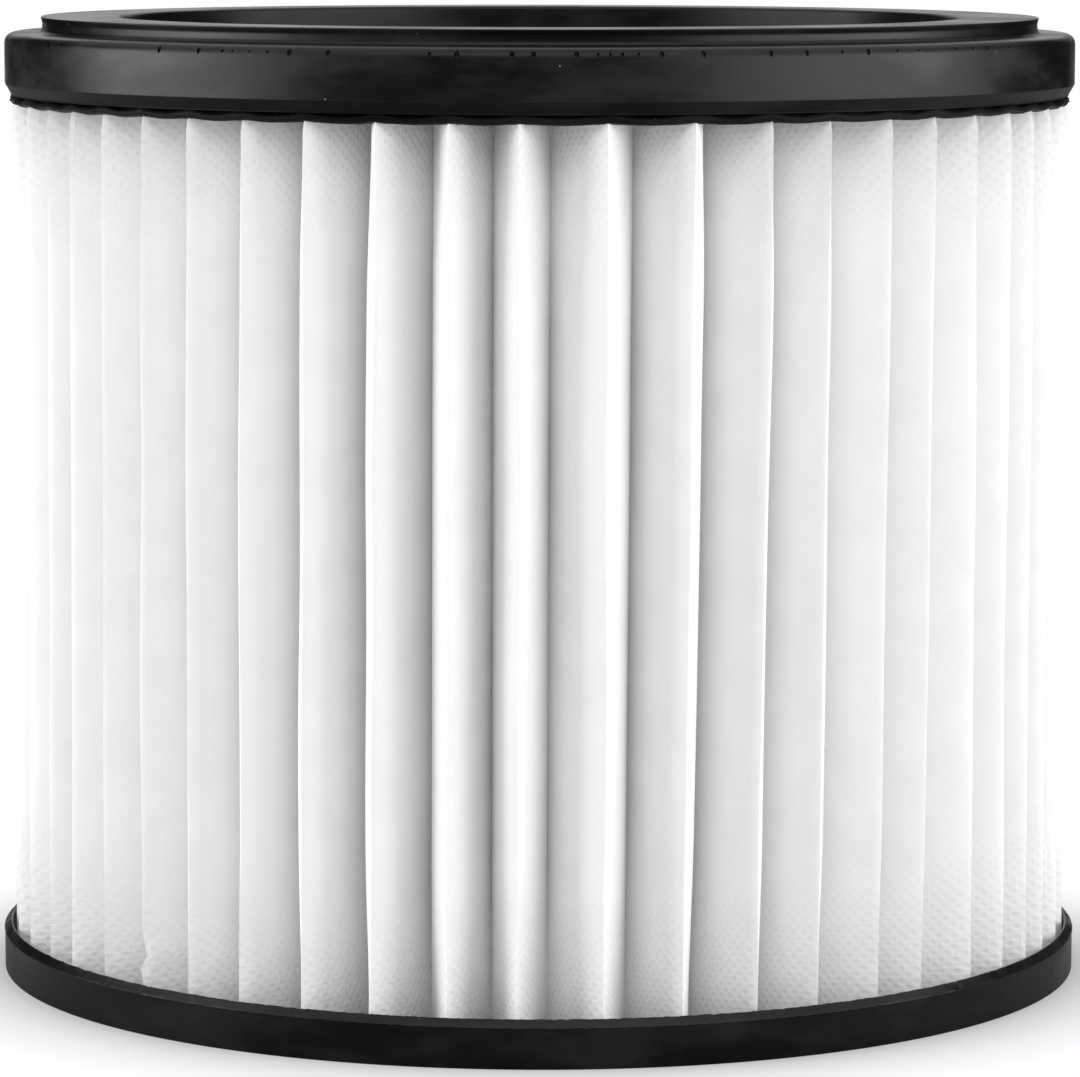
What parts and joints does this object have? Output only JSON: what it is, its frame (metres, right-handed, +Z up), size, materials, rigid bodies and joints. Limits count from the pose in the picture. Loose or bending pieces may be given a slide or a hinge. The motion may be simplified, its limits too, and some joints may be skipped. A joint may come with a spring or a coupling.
{
  "type": "pleated vacuum filter",
  "caption": "Cylindrical cartridge filter: a white pleated band cast between a black flanged end cap with a raised collar and a black lower ring, open through the middle.",
  "frame": {"origin": "middle of the lower face, on the filter's axis", "axes": "+Z up along the filter's axis, from the lower ring to the collared cap; X and Y level"},
  "size_m": [0.1932, 0.1932, 0.17],
  "materials": {
    "cast_resin": "satin",
    "filter_cloth": "embossed non-woven",
    "cage_plastic": "moulded"
  },
  "bodies": {
    "root": {"top_end_cap": "cast_resin", "pleated_medium": "filter_cloth", "support_cage": "cage_plastic", "bottom_end_cap": "cast_resin"}
  },
  "joints": []
}
